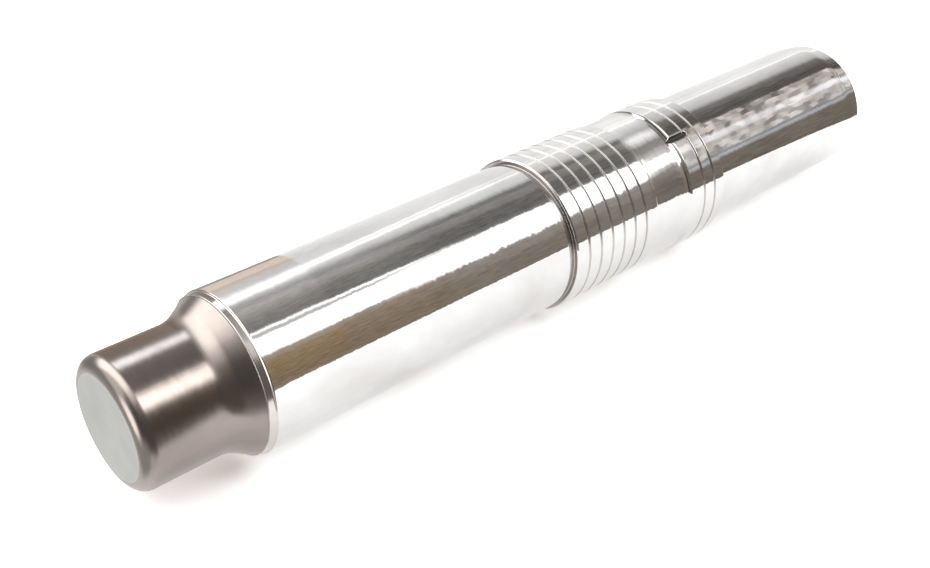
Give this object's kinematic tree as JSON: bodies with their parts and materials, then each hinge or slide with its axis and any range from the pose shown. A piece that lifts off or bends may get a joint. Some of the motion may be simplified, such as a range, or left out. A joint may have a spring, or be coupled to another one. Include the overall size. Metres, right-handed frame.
{
  "type": "stepped shaft",
  "caption": "Solid steel hydraulic breaker piston: stepped shaft with a flared striking nose, oil grooves, a control recess and an oil notch.",
  "frame": {"origin": "centre of the flat end face of the upper rod, on which the shaft stands", "axes": "+Z along the shaft's axis towards the striking nose; -Y is the side of the notch in the grooved land"},
  "size_m": [0.1054, 0.1054, 0.6265],
  "materials": {
    "ground_steel": "ground bright, satin on the unground nose"
  },
  "bodies": {
    "root": {"stepped_shaft": "ground_steel"}
  },
  "joints": []
}
